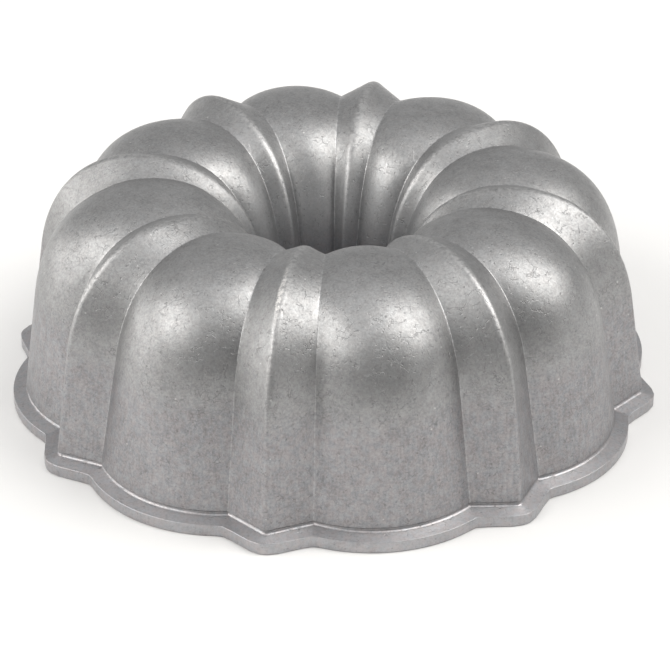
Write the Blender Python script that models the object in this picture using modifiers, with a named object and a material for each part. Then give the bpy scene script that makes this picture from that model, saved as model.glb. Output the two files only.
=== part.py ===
"""A cast bundt pan, standing upside down on its rim, with the coating on its batter side.

Eight pointed ridges alternate with eight round lobes. Both run from the rim up the wall, over the
crown and down into the centre tube, and meet in sharp valleys. Three meridian profiles shape the
pan: one along a valley, one along a ridge and one along a lobe. At each step along them, two straight
facets join valley, ridge and valley, and an arc joins valley, lobe and valley.

Metres, +Z up. The origin is the centre of the rim's plane, and a ridge points along -Y.
"""

import math

import bmesh
import bpy
import numpy as np

COLLECTION = "bundt_pan"

RIDGES = 8
PITCH = 2 * math.pi / RIDGES
# The angle from a ridge's line to the valley beside it, at the wall and in the tube.
RIDGE_HALF_WALL = math.radians(7.9)
RIDGE_HALF_TUBE = math.radians(9.1)
# The share of each facet, next to the ridge's line, that the line's rounding takes.
RIDGE_ROUNDING = 0.2

WALL = 0.0032
TUBE_END = 0.003

RIM_REACH = 0.0054
# How much less the rim reaches at its rounded tips, at the ridges.
RIM_TIP_CUT = 0.0012
# The rim's height at its outer edge, from which its top rises to the fillet at the wall's foot.
RIM_TOP = 0.0056
RIM_SLOPE = math.radians(17)
RIM_EDGE = 0.0006
RIM_FOOT_EDGE = 0.0006
RIM_FILLET = 0.0020
WALL_FOOT = 0.0080

COATING = 0.0004
COATING_GAP = 0.0003
COATING_FOOT = 0.0015

# Keeps the inner skin smooth where neighbouring faces are almost parallel.
OFFSET_SMOOTHING = 0.02

# Edges that turn more than this are shaded sharp: the valleys and the rim's edges.
CREASE_ANGLE = math.radians(40)

# Segments along each stretch of a meridian, and across half a ridge and a lobe.
WALL_STEPS = 2
CROWN_STEPS = 5
TUBE_STEPS = 2
LOBE_STEPS = 6

# Radius and height of the points that a meridian runs through, in order: the foot of the drafted
# wall, where the wall starts to curve, the top of the crown, where the tube starts, and its end.
# A ridge's points are where its facets would meet if its line weren't rounded.
# "fullness" is how far the curves' handles reach at the wall, either side of the top and at the
# tube, as a share of the rise or the run.
VALLEY = {
    "points": ((0.1194, 0.0), (0.1082, 0.0526), (0.0690, 0.0875), (0.0300, 0.0408), (0.0243, TUBE_END)),
    "fullness": (0.63, 0.51, 0.61, 0.63),
}
RIDGE = {
    "points": ((0.1285, 0.0), (0.1216, 0.0476), (0.0769, 0.0922), (0.0270, 0.0445), (0.0222, TUBE_END)),
    "fullness": (0.64, 0.49, 0.58, 0.69),
}
LOBE = {
    "points": ((0.1250, 0.0), (0.1183, 0.0482), (0.0708, 0.0898), (0.0272, 0.0415), (0.0222, TUBE_END)),
    "fullness": (0.76, 0.51, 0.67, 0.64),
}


def clear_scene():
    for obj in list(bpy.data.objects):
        bpy.data.objects.remove(obj, do_unlink=True)


def bezier(start, start_handle, end_handle, end, steps):
    """The points of a cubic curve after its start."""
    t = np.linspace(0, 1, steps + 1)[1:, None]
    return (
        (1 - t) ** 3 * start
        + 3 * (1 - t) ** 2 * t * start_handle
        + 3 * (1 - t) * t**2 * end_handle
        + t**3 * end
    )


def straight(start, end, steps):
    """The points of a line after its start."""
    return start + (end - start) * np.linspace(0, 1, steps + 1)[1:, None]


def meridian(shape, foot_height):
    """Rows of (radius, height), from foot_height up the wall, over the crown and down the tube."""
    base, shoulder, top, throat, tube_end = (np.array(point) for point in shape["points"])
    wall_pull, outer_pull, inner_pull, tube_pull = shape["fullness"]
    up_wall = (shoulder - base) / (shoulder - base)[1]
    up_tube = (throat - tube_end) / (throat - tube_end)[1]
    foot = base + up_wall * foot_height
    outward = np.array((1.0, 0.0))
    outer = bezier(
        shoulder,
        shoulder + up_wall * (top - shoulder)[1] * wall_pull,
        top + outward * (shoulder - top)[0] * outer_pull,
        top,
        CROWN_STEPS,
    )
    inner = bezier(
        top,
        top - outward * (top - throat)[0] * inner_pull,
        throat + up_tube * (top - throat)[1] * tube_pull,
        throat,
        CROWN_STEPS,
    )
    wall = straight(foot, shoulder, WALL_STEPS)
    tube = straight(throat, tube_end, TUBE_STEPS)
    return np.vstack((foot[None], wall, outer, inner, tube))


def placed(rows, angles):
    """The rows of a meridian turned to their angles, which start at -Y and run anticlockwise."""
    radius, height = rows.T
    return np.column_stack((radius * np.sin(angles), -radius * np.cos(angles), height))


def lobe_columns(valley, lobe, next_valley):
    """The columns of one lobe, without its last valley: an arc through the three at each row."""
    middle = (valley + next_valley) / 2
    rise = lobe - middle
    half_chord = (next_valley - valley) / 2
    height = np.linalg.norm(rise, axis=1, keepdims=True)
    width = np.linalg.norm(half_chord, axis=1, keepdims=True)
    half_turn = 2 * np.arctan2(height, width)
    columns = []
    for step in range(LOBE_STEPS):
        turn = half_turn * (2 * step / LOBE_STEPS - 1)
        along = np.sin(turn) / np.sin(half_turn)
        up = (np.cos(turn) - np.cos(half_turn)) / (1 - np.cos(half_turn))
        columns.append(middle + half_chord * along + rise * up)
    return columns


def skin(foot_height):
    """The pan's outside as points[column, row], from foot_height up, with its ridges still sharp.

    Each ridge has two columns, its first valley and its line, and each lobe starts with the next.
    """
    valley = meridian(VALLEY, foot_height)
    ridge = meridian(RIDGE, foot_height)
    lobe = meridian(LOBE, foot_height)
    inwards = (valley[:, 0].max() - valley[:, 0]) / np.ptp(valley[:, 0])
    half = RIDGE_HALF_WALL + (RIDGE_HALF_TUBE - RIDGE_HALF_WALL) * inwards
    columns = []
    for index in range(RIDGES):
        angle = index * PITCH
        before = placed(valley, angle - half)
        after = placed(valley, angle + half)
        following = placed(valley, angle + PITCH - half)
        columns += [before, placed(ridge, angle + 0 * half)]
        columns += lobe_columns(after, placed(lobe, angle + PITCH / 2 + 0 * half), following)
    return np.array(columns)


def moved_in(points, distance):
    """The skin moved into the wall, so that each of its faces moves by the distance."""
    across = np.roll(points, -1, axis=0) - points
    along = np.diff(points, axis=1)
    normals = np.cross(across[:, :-1], along)
    normals /= np.linalg.norm(normals, axis=2, keepdims=True)
    lower = np.concatenate((normals[:, :1], normals), axis=1)
    upper = np.concatenate((normals, normals[:, -1:]), axis=1)
    faces = np.stack((lower, upper, np.roll(lower, 1, axis=0), np.roll(upper, 1, axis=0)), axis=2)
    squares = np.einsum("crfi,crfj->crij", faces, faces) + OFFSET_SMOOTHING * np.eye(3)
    shift = np.linalg.solve(squares, faces.sum(axis=2)[..., None])[..., 0]
    return points - shift * distance


def with_rounded_ridges(points):
    """The skin with each ridge's line rounded: three columns in place of one."""
    sector = len(points) // RIDGES
    columns = []
    for index, column in enumerate(points):
        if index % sector != 1:
            columns.append(column)
            continue
        left = column + (points[index - 1] - column) * RIDGE_ROUNDING
        right = column + (points[index + 1] - column) * RIDGE_ROUNDING
        columns += [left, (left + right) / 4 + column / 2, right]
    return np.array(columns)


def outline_moved_out(outline, distance):
    """A closed outline in a level plane, moved outwards by the distances of its points."""
    tangent = np.roll(outline, -1, axis=0) - np.roll(outline, 1, axis=0)
    normal = np.column_stack((tangent[:, 1], -tangent[:, 0], np.zeros(len(outline))))
    return outline + normal * distance[:, None] / np.linalg.norm(normal, axis=1, keepdims=True)


def at_height(points, height):
    """The same points at one height."""
    return np.column_stack((points[:, :2], np.full(len(points), height)))


def rim_rows(foot, inner_foot):
    """The rim's section from under the wall, round its outer edge and back to the wall's foot."""
    rise = (RIM_REACH - RIM_EDGE - RIM_FILLET) * math.tan(RIM_SLOPE)
    section = (
        (RIM_REACH - RIM_FOOT_EDGE, 0.0),
        (RIM_REACH, RIM_FOOT_EDGE),
        (RIM_REACH, RIM_TOP - RIM_EDGE),
        (RIM_REACH - RIM_EDGE, RIM_TOP),
        (RIM_FILLET, RIM_TOP + rise),
    )
    share = np.ones(len(foot))
    share[2 :: len(foot) // RIDGES] = 1 - RIM_TIP_CUT / RIM_REACH
    rows = [at_height(inner_foot, 0.0)]
    for reach, height in section:
        rows.append(at_height(outline_moved_out(foot, reach * share), height))
    return rows


def add_object(name, mesh, material):
    obj = bpy.data.objects.new(name, mesh)
    mesh.materials.append(material)
    bpy.data.collections[COLLECTION].objects.link(obj)
    return obj


def loft_mesh(name, points, closed_rows):
    """A mesh through points[column, row], closed round the pan and, if asked, along its rows."""
    columns, rows = points.shape[:2]
    bm = bmesh.new()
    grid = [[bm.verts.new(point) for point in column] for column in points]
    for column in range(columns):
        following = (column + 1) % columns
        for row in range(rows if closed_rows else rows - 1):
            above = (row + 1) % rows
            quad = (grid[column][row], grid[following][row], grid[following][above], grid[column][above])
            bm.faces.new(quad)
    # The same diagonals on every skin, so that skins a small gap apart stay apart.
    bmesh.ops.triangulate(bm, faces=bm.faces[:], quad_method="SHORT_EDGE")
    mesh = bpy.data.meshes.new(name)
    bm.to_mesh(mesh)
    bm.free()
    mesh.shade_smooth()
    mesh.set_sharp_from_angle(angle=CREASE_ANGLE)
    return mesh


def principled(name, colour, roughness, metallic):
    material = bpy.data.materials.new(name)
    material.use_nodes = True
    shader = material.node_tree.nodes["Principled BSDF"]
    shader.inputs["Base Color"].default_value = (*colour, 1.0)
    shader.inputs["Roughness"].default_value = roughness
    shader.inputs["Metallic"].default_value = metallic
    return material


def make_casting():
    """The whole metal pan: wall, crown, centre tube and rim, one closed ring of section."""
    outside = with_rounded_ridges(skin(WALL_FOOT))
    inside = with_rounded_ridges(moved_in(skin(0.0), WALL))
    foot = with_rounded_ridges(skin(RIM_TOP))[:, 0]
    rim = np.stack(rim_rows(foot, inside[:, 0]), axis=1)
    section = np.concatenate((rim, outside, inside[:, :0:-1]), axis=1)
    mesh = loft_mesh("pan_casting", section, closed_rows=True)
    add_object("pan_casting", mesh, principled("cast_aluminium", (0.50, 0.50, 0.51), 0.42, 1.0))


def make_coating():
    """The release coating on the batter side: an open skin just inside the casting, made thick."""
    facing = with_rounded_ridges(moved_in(skin(COATING_FOOT), WALL + COATING_GAP))
    mesh = loft_mesh("nonstick_coating", facing, closed_rows=False)
    coating = principled("release_coating", (0.06, 0.06, 0.065), 0.45, 0.0)
    obj = add_object("nonstick_coating", mesh, coating)
    thicken = obj.modifiers.new("Solidify", "SOLIDIFY")
    thicken.thickness = COATING
    thicken.offset = -1.0
    thicken.use_even_offset = True


def main():
    clear_scene()
    collection = bpy.data.collections.new(COLLECTION)
    bpy.context.scene.collection.children.link(collection)
    make_casting()
    make_coating()


main()
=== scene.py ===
"""The looks of the bundt pan: a fine mesh of the casting and of the coating on its batter side, their
materials, a pale floor, soft studio light and the camera.

Metres, +Z up, in the frame of the CAD model. The pan stands upside down on its rim, and a ridge points
along -Y. Three meridian profiles shape it: one along a valley, one along a ridge and one along a lobe.
At each step along them, two facets join valley, ridge and valley, and an arc joins valley, lobe and
valley. Here every ridge, valley and edge is also rounded as the real casting's is.
"""

import math

import bpy
import numpy as np
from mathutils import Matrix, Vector


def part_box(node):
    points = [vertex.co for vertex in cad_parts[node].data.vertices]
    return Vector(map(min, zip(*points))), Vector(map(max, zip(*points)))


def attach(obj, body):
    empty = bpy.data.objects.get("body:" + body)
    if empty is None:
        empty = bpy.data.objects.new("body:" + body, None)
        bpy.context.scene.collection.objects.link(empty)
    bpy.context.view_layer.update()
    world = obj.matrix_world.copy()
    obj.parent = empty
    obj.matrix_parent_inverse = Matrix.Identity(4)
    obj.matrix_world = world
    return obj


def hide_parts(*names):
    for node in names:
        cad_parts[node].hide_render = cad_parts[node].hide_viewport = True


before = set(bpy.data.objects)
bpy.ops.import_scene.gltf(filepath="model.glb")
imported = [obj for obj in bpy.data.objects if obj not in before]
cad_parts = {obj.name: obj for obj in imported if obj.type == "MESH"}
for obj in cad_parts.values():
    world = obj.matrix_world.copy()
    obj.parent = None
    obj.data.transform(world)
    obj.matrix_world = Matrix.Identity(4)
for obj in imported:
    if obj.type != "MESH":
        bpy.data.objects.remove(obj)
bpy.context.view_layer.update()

# ---------------------------------------------------------------- sizes

RIDGES = 8
PITCH = 2 * math.pi / RIDGES
# The angle from a ridge's line to the valley beside it, at the wall and in the tube.
RIDGE_HALF_WALL = math.radians(7.9)
RIDGE_HALF_TUBE = math.radians(9.1)

# Radius and height of the points that a meridian runs through: the foot of the drafted wall, where the
# wall starts to curve, the top of the crown, where the tube starts, and its end. A ridge's points are
# where its facets would meet, and its line lies RIDGE_LINE_DROP of its height lower. "fullness" is how
# far the curves' handles reach at the wall, either side of the top and at the tube.
TUBE_END = 0.003
VALLEY = {
    "points": ((0.1194, 0.0), (0.1082, 0.0526), (0.0690, 0.0875), (0.0300, 0.0408), (0.0243, TUBE_END)),
    "fullness": (0.63, 0.51, 0.61, 0.63),
}
RIDGE = {
    "points": ((0.1285, 0.0), (0.1216, 0.0476), (0.0769, 0.0922), (0.0270, 0.0445), (0.0222, TUBE_END)),
    "fullness": (0.64, 0.49, 0.58, 0.69),
}
LOBE = {
    "points": ((0.1250, 0.0), (0.1183, 0.0482), (0.0708, 0.0898), (0.0272, 0.0415), (0.0222, TUBE_END)),
    "fullness": (0.76, 0.51, 0.67, 0.64),
}
RIDGE_LINE_DROP = 0.1

# How far from its corner each rounding starts, at the same five places along a meridian.
RIDGE_ROUNDING = (0.0018, 0.0020, 0.0036, 0.0020, 0.0016)
VALLEY_ROUNDING = (0.0003, 0.0003, 0.0004, 0.0004, 0.0004)
# The batter side's roundings are this share of the outside's.
BATTER_SIDE_ROUNDING = 0.6

# A rounding takes at most these shares of the way along a facet and along a lobe's first segment.
MOST_OF_FACET = 0.45
MOST_OF_LOBE = 0.8
# Keeps the wall's offset from running off where facets are nearly parallel.
OFFSET_SMOOTHING = 0.02

WALL = 0.0032
TUBE_LIP = 0.0009
COATING = 0.0004
COATING_GAP = 0.0003
# The heights at which the batter side's skin and its coating start.
INSIDE_FOOT = 0.0013
COATING_FOOT = 0.0015

RIM_REACH = 0.0054
# The rim's upper face falls outwards by its slope, in degrees, to this height at its outer edge.
RIM_TOP = 0.0048
RIM_SLOPE = 12
RIM_EDGE = 0.0003
# The fillet at the wall's foot turns to its end angle, in degrees. It is cut into the wall by CREASE,
# which leaves a thin dark line. CREASE_SUPPORT is the share of the first step up the wall at which an
# extra row keeps that line narrow.
RIM_FILLET = 0.0013
RIM_FILLET_END = 140
CREASE = 0.0005
CREASE_SUPPORT = 0.06
WALL_FOOT = 0.0074
RIM_FOOT_EDGE = 0.0006
# The radii of its outline's corners: hollow, beside the valleys, and outward, at the ridges.
RIM_HOLLOW = 0.0040
RIM_TIP = 0.0106

# Segments along the wall, either side of the crown and the tube, and across each stretch of a sector.
OUTSIDE_STEPS = (12, 38, 38, 14)
BATTER_SIDE_STEPS = (6, 22, 22, 8)
FACET_STEPS = 4
RIDGE_STEPS = 10
VALLEY_STEPS = 4
LOBE_STEPS = 30
ARC_STEPS = 6
OUTLINE_SAMPLES = 2880


# ---------------------------------------------------------------- meridians and sections


def bezier(start, start_handle, end_handle, end, steps):
    """The points of a cubic curve after its start."""
    t = np.linspace(0, 1, steps + 1)[1:, None]
    return (
        (1 - t) ** 3 * start
        + 3 * (1 - t) ** 2 * t * start_handle
        + 3 * (1 - t) * t**2 * end_handle
        + t**3 * end
    )


def straight(start, end, steps):
    """The points of a line after its start."""
    return start + (end - start) * np.linspace(0, 1, steps + 1)[1:, None]


def meridian(shape, foot_height, steps):
    """Rows of (radius, height), from foot_height up the wall, over the crown and down the tube."""
    base, shoulder, top, throat, tube_end = (np.array(point) for point in shape["points"])
    wall_pull, outer_pull, inner_pull, tube_pull = shape["fullness"]
    wall_steps, outer_steps, inner_steps, tube_steps = steps
    up_wall = (shoulder - base) / (shoulder - base)[1]
    up_tube = (throat - tube_end) / (throat - tube_end)[1]
    foot = base + up_wall * foot_height
    outward = np.array((1.0, 0.0))
    outer = bezier(
        shoulder,
        shoulder + up_wall * (top - shoulder)[1] * wall_pull,
        top + outward * (shoulder - top)[0] * outer_pull,
        top,
        outer_steps,
    )
    inner = bezier(
        top,
        top - outward * (top - throat)[0] * inner_pull,
        throat + up_tube * (top - throat)[1] * tube_pull,
        throat,
        inner_steps,
    )
    wall = straight(foot, shoulder, wall_steps)
    tube = straight(throat, tube_end, tube_steps)
    return np.vstack((foot[None], wall, outer, inner, tube))


def along_rows(values, steps):
    """A value for each row, from the five given at the ends of a meridian's stretches."""
    stops = np.concatenate(((0,), np.cumsum(steps)))
    return np.interp(np.arange(stops[-1] + 1), stops, values)


def placed(rows, angles):
    """The rows of a meridian turned to their angles, which start at -Y and run anticlockwise."""
    radius, height = rows.T
    return np.column_stack((radius * np.sin(angles), -radius * np.cos(angles), height))


def lobe_columns(valley, lobe, next_valley):
    """The columns of one lobe, without its last valley: an arc through the three at each row."""
    middle = (valley + next_valley) / 2
    rise = lobe - middle
    half_chord = (next_valley - valley) / 2
    height = np.linalg.norm(rise, axis=1, keepdims=True)
    width = np.linalg.norm(half_chord, axis=1, keepdims=True)
    half_turn = 2 * np.arctan2(height, width)
    columns = []
    for step in range(LOBE_STEPS):
        turn = half_turn * (2 * step / LOBE_STEPS - 1)
        along = np.sin(turn) / np.sin(half_turn)
        up = (np.cos(turn) - np.cos(half_turn)) / (1 - np.cos(half_turn))
        columns.append(middle + half_chord * along + rise * up)
    return columns


def sharp_skin(foot_height, steps):
    """The pan's outside as points[column, row], its ridges and valleys still sharp. Each sector has two
    columns for its ridge, the valley before it and its line, and the rest run along its lobe."""
    valley = meridian(VALLEY, foot_height, steps)
    ridge = meridian(RIDGE, foot_height, steps)
    lobe = meridian(LOBE, foot_height, steps)
    inwards = (valley[:, 0].max() - valley[:, 0]) / np.ptp(valley[:, 0])
    half = RIDGE_HALF_WALL + (RIDGE_HALF_TUBE - RIDGE_HALF_WALL) * inwards
    columns = []
    for index in range(RIDGES):
        angle = index * PITCH
        after = placed(valley, angle + half)
        following = placed(valley, angle + PITCH - half)
        columns += [placed(valley, angle - half), placed(ridge, angle + 0 * half)]
        columns += lobe_columns(after, placed(lobe, angle + PITCH / 2 + 0 * half), following)
    return np.array(columns)


def moved_in(points, distance):
    """The skin moved into the wall, so that each of its faces moves by the distance."""
    across = np.roll(points, -1, axis=0) - points
    along = np.diff(points, axis=1)
    normals = np.cross(across[:, :-1], along)
    normals /= np.linalg.norm(normals, axis=2, keepdims=True)
    lower = np.concatenate((normals[:, :1], normals), axis=1)
    upper = np.concatenate((normals, normals[:, -1:]), axis=1)
    faces = np.stack((lower, upper, np.roll(lower, 1, axis=0), np.roll(upper, 1, axis=0)), axis=2)
    smoothing = OFFSET_SMOOTHING * np.eye(3)
    squares = np.einsum("crfi,crfj->crij", faces, faces) + smoothing
    shift = np.linalg.solve(squares, faces.sum(axis=2)[..., None])[..., 0]
    return points - shift * distance


def share_of(distance, start, end, most):
    """The distance as a share of the way from start to end, row by row, and never over the most."""
    length = np.linalg.norm(end - start, axis=1)
    return np.minimum(distance / length, most)[:, None]


def corner(before, point, after, before_share, after_share, steps):
    """Columns along a curve that rounds a corner, from before it to after it."""
    start = point + (before - point) * before_share
    end = point + (after - point) * after_share
    t = np.linspace(0, 1, steps + 1)[:, None, None]
    return list((1 - t) ** 2 * start + 2 * (1 - t) * t * point + t**2 * end)


def between(start, end, steps):
    """The columns between two others, without either."""
    return [start + (end - start) * step / steps for step in range(1, steps)]


def rounded(points, steps, size):
    """The skin with its ridges and valleys rounded."""
    ridge_reach = along_rows(RIDGE_ROUNDING, steps) * size
    valley_reach = along_rows(VALLEY_ROUNDING, steps) * size
    sector = len(points) // RIDGES
    columns = []
    for start in range(0, len(points), sector):
        lobe_before, first, line, second, lobe_after = points[start - 1], *points[start : start + 4]
        middle = (first + second) / 2
        at_line = share_of(ridge_reach, line, first, MOST_OF_FACET)
        line = middle + (line - middle) * (1 - RIDGE_LINE_DROP) / (1 - at_line / 2)
        at_line = share_of(ridge_reach, line, first, MOST_OF_FACET)
        at_valley = share_of(valley_reach, first, line, MOST_OF_FACET)
        on_lobe = share_of(valley_reach, first, lobe_before, MOST_OF_LOBE)
        columns += corner(lobe_before, first, line, on_lobe, at_valley, VALLEY_STEPS)
        ridge = corner(first, line, second, at_line, at_line, RIDGE_STEPS)
        after = corner(line, second, lobe_after, at_valley, on_lobe, VALLEY_STEPS)
        columns += between(columns[-1], ridge[0], FACET_STEPS) + ridge
        columns += between(ridge[-1], after[0], FACET_STEPS) + after
        columns += list(points[start + 3 : start + sector])
    return np.array(columns)


def column_marks():
    """For each column, how near it is to a ridge's line, and how near to a valley, from 0 to 1."""
    hill = np.sin(np.linspace(0, math.pi, VALLEY_STEPS + 3)[1:-1])
    climb = np.linspace(0, 0.4, FACET_STEPS + 1)[1:-1]
    top = 0.4 + 0.6 * np.sin(np.linspace(0, math.pi, RIDGE_STEPS + 1))
    flat = np.zeros(LOBE_STEPS - 1)
    ridge = np.concatenate((0 * hill, climb, top, climb[::-1], 0 * hill, flat))
    valley = np.concatenate((hill, 0 * climb, 0 * top, 0 * climb, hill, flat))
    return np.tile(ridge, RIDGES), np.tile(valley, RIDGES)


# ---------------------------------------------------------------- the rim


def swept(outline, distance):
    """The radii, at each angle, of a level outline moved out by the distance, or in if it is negative.

    It is the far edge of a disc rolled along the outline, so inner corners stay clean."""
    angles = np.arctan2(outline[:, 0], -outline[:, 1])
    radii = np.hypot(outline[:, 0], outline[:, 1])
    order = np.argsort(angles)
    samples = np.linspace(-math.pi, math.pi, OUTLINE_SAMPLES, endpoint=False)
    sampled = np.interp(samples, angles[order], radii[order], period=2 * math.pi)
    turn = angles[:, None] - samples[None]
    aside = sampled * np.sin(turn)
    ahead = sampled * np.cos(turn)
    touching = (np.abs(aside) < abs(distance)) & (ahead > 0)
    reach = np.sqrt(np.where(touching, distance**2 - aside**2, 0))
    if distance > 0:
        moved = np.where(touching, ahead + reach, -np.inf).max(axis=1)
    else:
        moved = np.where(touching, ahead - reach, np.inf).min(axis=1)
    return np.column_stack((moved * np.sin(angles), -moved * np.cos(angles), outline[:, 2]))


def arc(centre, radius, start, end):
    """Points of (reach, height) round an arc, its angles in degrees from straight out."""
    angles = np.radians(np.linspace(start, end, ARC_STEPS + 1))
    return [(centre[0] + radius * math.cos(a), centre[1] + radius * math.sin(a)) for a in angles]


def rim_section():
    """Points of (reach, height) from the rim's inner foot, under it, up its edge and in to the wall."""
    edge, foot, fillet = RIM_EDGE, RIM_FOOT_EDGE, RIM_FILLET
    slope = math.radians(RIM_SLOPE)
    outer = arc((RIM_REACH - edge, RIM_TOP - edge), edge, 0, 90 - RIM_SLOPE)
    fillet_start = fillet * (1 - math.sin(slope)) - CREASE
    rise = (outer[-1][0] - fillet_start) * math.tan(slope)
    centre = (fillet - CREASE, outer[-1][1] + rise + fillet * math.cos(slope))
    section = arc((foot - WALL, foot), foot, 180, 270)[1:]
    section += arc((RIM_REACH - foot, foot), foot, 270, 360) + outer
    section += arc(centre, fillet, 270 - RIM_SLOPE, RIM_FILLET_END)
    return section


def rim_rows(foot, inner_foot):
    """The rim's rows as points[column, row], between the wall's foot and the edge swept round it."""
    edge = swept(swept(foot, RIM_REACH + RIM_HOLLOW), -RIM_HOLLOW - RIM_TIP)
    edge = swept(edge, RIM_TIP)
    rows = []
    for reach, height in rim_section():
        if reach < -CREASE:
            row = foot + (inner_foot - foot) * -reach / WALL
        else:
            row = foot + (edge - foot) * reach / RIM_REACH
        rows.append(np.column_stack((row[:, :2], np.full(len(row), height))))
    return np.stack(rows, axis=1)


# ---------------------------------------------------------------- the two pieces


def end_lip(outer_end, inner_end):
    """The rows of a round lip between the two skins at the tube's end, hanging under them."""
    rows = []
    for angle in np.linspace(0, math.pi, ARC_STEPS + 3)[1:-1]:
        row = outer_end + (inner_end - outer_end) * (1 - math.cos(angle)) / 2
        rows.append(row - np.array((0, 0, TUBE_LIP)) * math.sin(angle))
    return np.stack(rows, axis=1)


def ring_mesh(name, points, marks):
    """A mesh through points[column, row], closed round the pan and round its section, with its marks
    stored as attributes of its vertices."""
    columns, rows = points.shape[:2]
    index = np.arange(columns * rows).reshape(columns, rows)
    right = np.roll(index, -1, axis=0)
    quads = np.stack((index, right, np.roll(right, -1, axis=1), np.roll(index, -1, axis=1)), axis=2)
    mesh = bpy.data.meshes.new(name)
    mesh.from_pydata(points.reshape(-1, 3).tolist(), [], quads.reshape(-1, 4).tolist())
    mesh.shade_smooth()
    for mark, values in marks.items():
        attribute = mesh.attributes.new(mark, "FLOAT", "POINT")
        attribute.data.foreach_set("value", values.astype(np.float32).ravel())
    obj = bpy.data.objects.new(name, mesh)
    bpy.context.scene.collection.objects.link(obj)
    return obj


def make_casting():
    """The metal pan: rim, outside, tube end and batter side, one closed ring of section."""
    outside = rounded(sharp_skin(WALL_FOOT, OUTSIDE_STEPS), OUTSIDE_STEPS, 1.0)
    wall_foot = outside[:, 0]
    facing = moved_in(sharp_skin(INSIDE_FOOT, BATTER_SIDE_STEPS), WALL)
    inside = rounded(facing, BATTER_SIDE_STEPS, BATTER_SIDE_ROUNDING)
    rim = rim_rows(wall_foot, inside[:, 0])
    support = outside[:, :1] + (outside[:, 1:2] - outside[:, :1]) * CREASE_SUPPORT
    outside = np.concatenate((outside[:, :1], support, outside[:, 1:]), axis=1)
    lip = end_lip(outside[:, -1], inside[:, -1])
    points = np.concatenate((rim, outside, lip, inside[:, ::-1]), axis=1)
    on_outside = np.zeros(points.shape[1])
    on_outside[rim.shape[1] : rim.shape[1] + outside.shape[1]] = 1
    on_rim = np.zeros(points.shape[1])
    on_rim[: rim.shape[1]] = 1
    ridge, valley = column_marks()
    marks = {
        "ridge": np.outer(ridge, on_outside),
        "valley": np.outer(valley, on_outside),
        "rim": np.outer(np.ones(len(points)), on_rim),
    }
    return ring_mesh("cast_shell", points, marks)


def make_coating():
    """The release coating: a thin skin a hair's breadth from the casting's batter side."""
    skins = []
    for depth in (WALL + COATING_GAP, WALL + COATING_GAP + COATING):
        facing = moved_in(sharp_skin(COATING_FOOT, BATTER_SIDE_STEPS), depth)
        skins.append(rounded(facing, BATTER_SIDE_STEPS, BATTER_SIDE_ROUNDING))
    points = np.concatenate((skins[0], skins[1][:, ::-1]), axis=1)
    return ring_mesh("coating_skin", points, {})


# ---------------------------------------------------------------- material helpers


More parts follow.
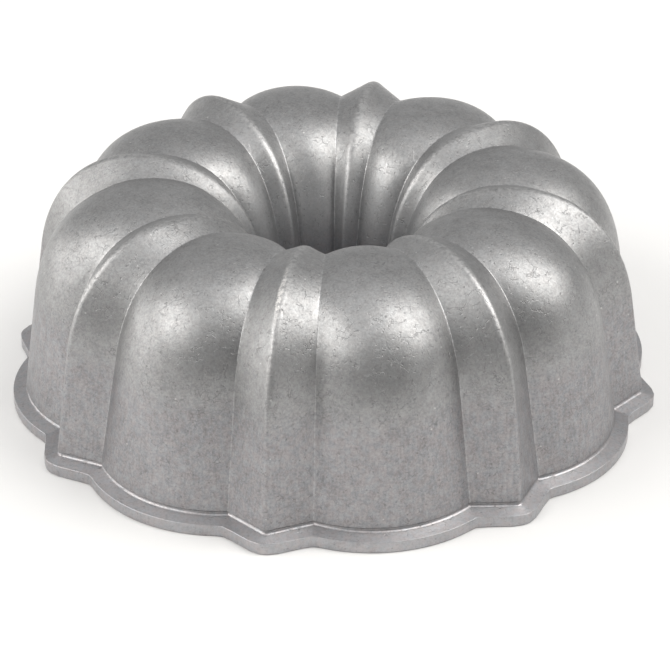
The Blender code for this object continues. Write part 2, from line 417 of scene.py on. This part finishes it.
class Tree:
    """A node tree, with short calls for the few kinds of node that the materials use."""

    def __init__(self, owner):
        owner.use_nodes = True
        self.tree = owner.node_tree

    def feed(self, node, inputs):
        """Gives a node its inputs, each a value or another node's socket."""
        for name, value in inputs.items():
            if isinstance(value, bpy.types.NodeSocket):
                self.tree.links.new(value, node.inputs[name])
            else:
                node.inputs[name].default_value = value

    def add(self, kind, inputs=None, **settings):
        """A new node with its settings and inputs."""
        node = self.tree.nodes.new(kind)
        for name, value in settings.items():
            setattr(node, name, value)
        self.feed(node, inputs or {})
        return node

    def math(self, operation, first, second=0.0, third=0.0):
        node = self.add("ShaderNodeMath", {0: first, 1: second, 2: third}, operation=operation)
        return node.outputs[0]

    def noise(self, vector, size, detail=3.0, roughness=0.55):
        """Noise from 0 to 1 about features of this size in metres."""
        inputs = {"Vector": vector, "Scale": 1 / size, "Detail": detail, "Roughness": roughness}
        return self.add("ShaderNodeTexNoise", inputs).outputs["Fac"]

    def ramp(self, value, low, high, to_low=0.0, to_high=1.0):
        """The value taken smoothly from one range to another, and held there beyond its ends."""
        inputs = {"Value": value, "From Min": low, "From Max": high, "To Min": to_low, "To Max": to_high}
        return self.add("ShaderNodeMapRange", inputs, interpolation_type="SMOOTHSTEP").outputs[0]

    def centred(self, value, gain):
        """The value about its middle, 0.5, times a gain."""
        return self.math("MULTIPLY_ADD", value, gain, -gain / 2)

    def mix(self, factor, first, second, blend="MIX"):
        """Two colours mixed, through the colour sockets of the node."""
        inputs = {0: factor, 6: first, 7: second}
        return self.add("ShaderNodeMix", inputs, data_type="RGBA", blend_type=blend).outputs[2]

    def spots(self, vector, size, radius, share):
        """Round spots, from 0 to 1: one to a cell of this size, in this share of the cells."""
        cells = self.add("ShaderNodeTexVoronoi", {"Vector": vector, "Scale": 1 / size})
        nearness = self.ramp(cells.outputs["Distance"], 0.4 * radius / size, radius / size, 1.0, 0.0)
        draw = self.add("ShaderNodeSeparateColor", {"Color": cells.outputs["Color"]})
        chosen = self.math("LESS_THAN", draw.outputs[0], share)
        return self.math("MULTIPLY", nearness, chosen)

    def stretched(self, vector, scale):
        """The vector times a scale along each axis."""
        return self.add("ShaderNodeVectorMath", {0: vector, 1: scale}, operation="MULTIPLY").outputs[0]

    def wobbled(self, vector, size, reach):
        """The vector pushed about by noise of this size, by up to half this reach."""
        push = self.add("ShaderNodeTexNoise", {"Vector": vector, "Scale": 1 / size}).outputs["Color"]
        inputs = {0: push, 1: (reach, reach, reach), 2: vector}
        return self.add("ShaderNodeVectorMath", inputs, operation="MULTIPLY_ADD").outputs[0]

    def cracks(self, vector, size, width):
        """Lines, from 0 to 1, between cells of this size."""
        inputs = {"Vector": vector, "Scale": 1 / size}
        cells = self.add("ShaderNodeTexVoronoi", inputs, feature="DISTANCE_TO_EDGE")
        return self.ramp(cells.outputs["Distance"], 0.3 * width / size, width / size, 1.0, 0.0)

    def blob(self, vector, centre, size):
        """A soft ellipsoid, from 0 to 1, with these half-sizes."""
        inputs = {0: vector, 1: tuple(-c for c in centre)}
        moved = self.add("ShaderNodeVectorMath", inputs, operation="ADD").outputs[0]
        moved = self.stretched(moved, tuple(1 / half for half in size))
        length = self.add("ShaderNodeVectorMath", {0: moved}, operation="LENGTH").outputs["Value"]
        return self.ramp(length, 0.4, 1.0, 1.0, 0.0)


def grey(value, warmth=0.0):
    """A grey as a colour, with more red and less blue the warmer it is."""
    return (value * (1 + warmth), value, value * (1 - warmth), 1.0)


# ---------------------------------------------------------------- materials

METAL_DARK = grey(0.24)
METAL_LIGHT = grey(0.48)
# Painted light: the lighter, cooler grey that the tube's inside is coloured.
TUBE_PAINTED_LIGHT = grey(0.60, -0.02)
WARM = (1.0, 0.942, 0.955, 1.0)
COOL = (0.945, 0.955, 1.0, 1.0)
PITTED = grey(0.13)
RUBBED = grey(0.92, 0.03)
NICKED = grey(0.85, 0.01)
RIDGE_LINE = grey(0.75, 0.01)
# Painted highlight: the lighter grey laid along the valleys.
VALLEY_HIGHLIGHT = grey(0.80)
# The rest is the dull film that covers bare cast aluminium.
METALLIC = 0.93

# The rubbed mark along the front ridge's line, on the crown.
RUB_CENTRE = (0.0, -0.088, 0.0870)
RUB_SIZE = (0.0014, 0.0210, 0.0090)


def cast_metal():
    """Tumbled cast aluminium: a cloudy satin with fine pits, nicks, crinkles and scratches, draw marks
    down the wall, a rubbed mark on the front ridge, and a lighter, smoother rim."""
    material = bpy.data.materials.new("cast_aluminium")
    tree = Tree(material)
    shader = tree.tree.nodes["Principled BSDF"]
    place = tree.add("ShaderNodeTexCoord").outputs["Object"]
    height = tree.add("ShaderNodeSeparateXYZ", {0: place}).outputs["Z"]
    ridge = tree.add("ShaderNodeAttribute", attribute_name="ridge").outputs["Fac"]
    valley = tree.add("ShaderNodeAttribute", attribute_name="valley").outputs["Fac"]
    rim = tree.add("ShaderNodeAttribute", attribute_name="rim").outputs["Fac"]

    # The mottling, coarse to fine. It sets how light the metal is and, a little, how smooth.
    cloud = tree.noise(place, 0.020)
    blotch = tree.noise(place, 0.0045, detail=4.0)
    grain = tree.noise(place, 0.0010, detail=4.0, roughness=0.8)
    streak = tree.noise(tree.stretched(place, (1.0, 1.0, 0.07)), 0.0010, detail=2.0)
    on_wall = tree.ramp(height, 0.040, 0.056, 1.0, 0.0)

    tone = tree.math("ADD", tree.centred(cloud, 0.5), tree.centred(blotch, 0.6))
    tone = tree.math("ADD", tone, tree.centred(grain, 1.7))
    tone = tree.math("ADD", tone, tree.math("MULTIPLY", on_wall, tree.centred(streak, 0.5)))
    tone = tree.math("MULTIPLY_ADD", rim, 0.35, tone)

    # Pits and crinkles are dark and sunk, nicks are bright, and scratches only show as relief.
    wobbled = tree.wobbled(place, 0.0011, 0.0007)
    pits = tree.spots(wobbled, 0.0021, 0.00050, 0.40)
    pits = tree.math("MAXIMUM", pits, tree.spots(wobbled, 0.0085, 0.0008, 0.35))
    nicks = tree.spots(wobbled, 0.0052, 0.00050, 0.30)
    crinkles = tree.cracks(tree.wobbled(place, 0.0024, 0.0034), 0.0046, 0.00016)
    patches = tree.math("MULTIPLY_ADD", on_wall, -0.05, tree.noise(place, 0.0040))
    crinkles = tree.math("MULTIPLY", crinkles, tree.ramp(patches, 0.50, 0.57))
    bent = tree.wobbled(tree.stretched(place, (1.0, 0.3, 1.0)), 0.02, 0.01)
    scratches = tree.cracks(bent, 0.016, 0.00007)
    scratches = tree.math("MULTIPLY", scratches, tree.ramp(tree.noise(place, 0.009), 0.54, 0.62))
    marks = tree.math("MAXIMUM", crinkles, pits)

    # The rubbed mark and the ragged bright lines along ridges, and a ragged painted highlight along the
    # valleys.
    ragged = tree.ramp(tree.noise(place, 0.0016, detail=4.0), 0.38, 0.60)
    torn = tree.ramp(tree.noise(place, 0.0011, detail=4.0, roughness=0.7), 0.40, 0.56)
    rub = tree.blob(tree.wobbled(place, 0.004, 0.0012), RUB_CENTRE, RUB_SIZE)
    rubbed = tree.math("MULTIPLY", rub, torn)
    on_crown = tree.ramp(height, 0.055, 0.070)
    ridge_line = tree.math("MULTIPLY", tree.math("POWER", ridge, 3.0), on_crown)
    ridge_line = tree.math("MULTIPLY", ridge_line, ragged)
    # Painted highlight along the valleys, in ragged lines.
    valley_highlight = tree.math("MULTIPLY", tree.math("POWER", valley, 2.0), ragged)

    # Painted light: the tube is coloured lighter and a little cooler than the rest of the metal. The
    # wall has the most tint.
    level = tree.stretched(place, (1.0, 1.0, 0.0))
    radius = tree.add("ShaderNodeVectorMath", {0: level}, operation="LENGTH").outputs["Value"]
    painted_tube_light = tree.ramp(radius, 0.030, 0.044, 1.0, 0.0)
    colour = tree.mix(tree.ramp(tone, -0.7, 0.7), METAL_DARK, METAL_LIGHT)
    colour = tree.mix(tree.math("MULTIPLY", painted_tube_light, 0.30), colour, TUBE_PAINTED_LIGHT)
    hue = tree.ramp(tree.noise(place, 0.0026), 0.35, 0.65)
    tinted = tree.math("MULTIPLY_ADD", on_wall, 0.65, 0.2)
    colour = tree.mix(tinted, colour, tree.mix(hue, COOL, WARM), blend="MULTIPLY")
    for mark, share, tint in (
        (marks, 0.36, PITTED),
        (rubbed, 0.75, RUBBED),
        (nicks, 0.45, NICKED),
        (ridge_line, 0.35, RIDGE_LINE),
        # painted highlight along the valleys
        (valley_highlight, 0.28, VALLEY_HIGHLIGHT),
    ):
        colour = tree.mix(tree.math("MULTIPLY", mark, share), colour, tint)

    rough = tree.math("MULTIPLY_ADD", tone, -0.06, 0.43)
    rough = tree.math("MULTIPLY_ADD", valley, -0.05, rough)

    relief = tree.math("MULTIPLY_ADD", grain, 0.6, tree.math("MULTIPLY", blotch, 0.4))
    relief = tree.math("MULTIPLY_ADD", marks, -0.5, relief)
    relief = tree.math("MULTIPLY_ADD", scratches, -0.35, relief)
    relief = tree.math("MULTIPLY_ADD", rubbed, tree.centred(grain, 2.0), relief)
    bump = tree.add("ShaderNodeBump", {"Height": relief, "Strength": 0.40, "Distance": 0.0003})

    inputs = {"Base Color": colour, "Roughness": rough, "Normal": bump.outputs[0], "Metallic": METALLIC}
    tree.feed(shader, inputs)
    return material


def release_coating():
    """A dark satin non-stick coating, slightly mottled and finely textured."""
    material = bpy.data.materials.new("release_coating")
    tree = Tree(material)
    shader = tree.tree.nodes["Principled BSDF"]
    place = tree.add("ShaderNodeTexCoord").outputs["Object"]
    cloud = tree.noise(place, 0.012)
    grain = tree.noise(place, 0.0006, detail=2.0)
    specks = tree.spots(place, 0.0024, 0.00028, 0.3)
    colour = tree.mix(tree.ramp(cloud, 0.3, 0.7), grey(0.035), grey(0.055, 0.01))
    colour = tree.mix(tree.math("MULTIPLY", specks, 0.25), colour, grey(0.16))
    rough = tree.ramp(cloud, 0.3, 0.7, 0.46, 0.38)
    bump = tree.add("ShaderNodeBump", {"Height": grain, "Strength": 0.2, "Distance": 0.0001})
    tree.feed(shader, {"Base Color": colour, "Roughness": rough, "Normal": bump.outputs[0]})
    return material


def pale_floor():
    material = bpy.data.materials.new("pale_floor")
    tree = Tree(material)
    shader = tree.tree.nodes["Principled BSDF"]
    place = tree.add("ShaderNodeTexCoord").outputs["Object"]
    colour = tree.mix(tree.noise(place, 0.3), grey(0.84, 0.005), grey(0.86, 0.005))
    tree.feed(shader, {"Base Color": colour, "Roughness": 0.9, "Specular IOR Level": 0.1})
    return material


# ---------------------------------------------------------------- pieces on the frame

casting = make_casting()
casting.data.materials.append(cast_metal())
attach(casting, "root")
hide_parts("pan_casting")

coating = make_coating()
coating.data.materials.append(release_coating())
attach(coating, "root")
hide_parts("nonstick_coating")


# ---------------------------------------------------------------- floor, light and camera

low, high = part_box("pan_casting")
CENTRE = (low + high) / 2
WIDTH = (high - low).x

# The camera stands at this azimuth, in degrees, and this place, in metres.
CAMERA_AZIMUTH = 11.06
CAMERA_PLACE = (0.1775, -0.9008, 0.5583)
CAMERA_TARGET = (0.0014, 0.0003, 0.0178)
CAMERA_LENS = 141.24
CAMERA_SENSOR = 36.0
FLOOR_WIDTHS = 60

# The world's radiance: all round, what it gains towards the zenith, and low at the back.
SKY = 0.41
SKY_OVERHEAD = 0.72
SKY_BACK = 0.18
# How far round from the camera the dark behind it is centred.
SKY_TURN = 15
SOFTBOX_COLOUR = (1.0, 0.985, 0.95)
# Each softbox's azimuth from the camera's, elevation, width and height, as angles in degrees, then its
# radiance, and its distance in pan widths.
SOFTBOXES = {
    "key_right": (84, 51, 32, 48, 4.0, 12),
    "key_left": (-70, 40, 46, 26, 3.6, 10),
    "strip_left": (-98, 9, 60, 13, 2.8, 10),
}


def direction(azimuth, elevation):
    """A unit vector: azimuth 0 is -Y and +90 is +X, both in degrees."""
    a, e = math.radians(azimuth), math.radians(elevation)
    return Vector((math.sin(a) * math.cos(e), -math.cos(a) * math.cos(e), math.sin(e)))


def aimed(obj, target):
    obj.rotation_euler = (target - obj.location).to_track_quat("-Z", "Y").to_euler()


def make_floor():
    side = WIDTH * FLOOR_WIDTHS
    mesh = bpy.data.meshes.new("floor")
    corners = [(-side, -side), (side, -side), (side, side), (-side, side)]
    mesh.from_pydata([(x, y, low.z) for x, y in corners], [], [(0, 1, 2, 3)])
    mesh.materials.append(pale_floor())
    floor = bpy.data.objects.new("floor", mesh)
    bpy.context.scene.collection.objects.link(floor)


def make_world():
    """Soft studio light: dim at the horizon, less so at the back, dark behind the camera, bright
    overhead."""
    world = bpy.data.worlds.new("studio")
    bpy.context.scene.world = world
    tree = Tree(world)
    background = tree.tree.nodes["Background"]
    place = tree.add("ShaderNodeTexCoord").outputs["Generated"]
    height = tree.add("ShaderNodeSeparateXYZ", {0: place}).outputs["Z"]
    rise = tree.math("POWER", tree.math("MAXIMUM", height, 0.0), 5.0)
    even = tree.math("MULTIPLY_ADD", rise, SKY_OVERHEAD, SKY)
    front = direction(CAMERA_AZIMUTH + SKY_TURN, 0)
    facing = tree.add("ShaderNodeVectorMath", {0: place, 1: front}, operation="DOT_PRODUCT")
    behind_camera = tree.ramp(facing.outputs["Value"], 0.4, 1.0)
    dark = tree.math("MULTIPLY", behind_camera, tree.ramp(height, 0.0, 0.72, 1.0, 0.0))
    far = tree.ramp(facing.outputs["Value"], -0.3, -0.9)
    glow = tree.math("MULTIPLY", far, tree.ramp(height, 0.10, 0.50, SKY_BACK, 0.0))
    even = tree.math("ADD", even, glow)
    strength = tree.math("MULTIPLY", even, tree.math("SUBTRACT", 1.0, dark))
    tree.feed(background, {"Strength": strength, "Color": (1.0, 1.0, 1.0, 1.0)})


def make_softbox(name, azimuth, elevation, width, height, radiance, pan_widths):
    """A softbox that faces the pan, from the values that SOFTBOXES lists."""
    distance = pan_widths * WIDTH
    light = bpy.data.lights.new(name, "AREA")
    light.shape = "RECTANGLE"
    light.color = SOFTBOX_COLOUR
    light.size = 2 * distance * math.tan(math.radians(width / 2))
    light.size_y = 2 * distance * math.tan(math.radians(height / 2))
    light.energy = radiance * light.size * light.size_y * math.pi
    obj = bpy.data.objects.new(name, light)
    bpy.context.scene.collection.objects.link(obj)
    obj.location = CENTRE + direction(CAMERA_AZIMUTH + azimuth, elevation) * distance
    aimed(obj, CENTRE)


def make_camera():
    camera = bpy.data.cameras.new("camera")
    camera.lens = CAMERA_LENS
    camera.sensor_width = CAMERA_SENSOR
    obj = bpy.data.objects.new("camera", camera)
    bpy.context.scene.collection.objects.link(obj)
    obj.location = CAMERA_PLACE
    aimed(obj, Vector(CAMERA_TARGET))
    bpy.context.scene.camera = obj


make_floor()
make_world()
for softbox, values in SOFTBOXES.items():
    make_softbox(softbox, *values)
make_camera()
bpy.context.scene.view_settings.view_transform = "Standard"
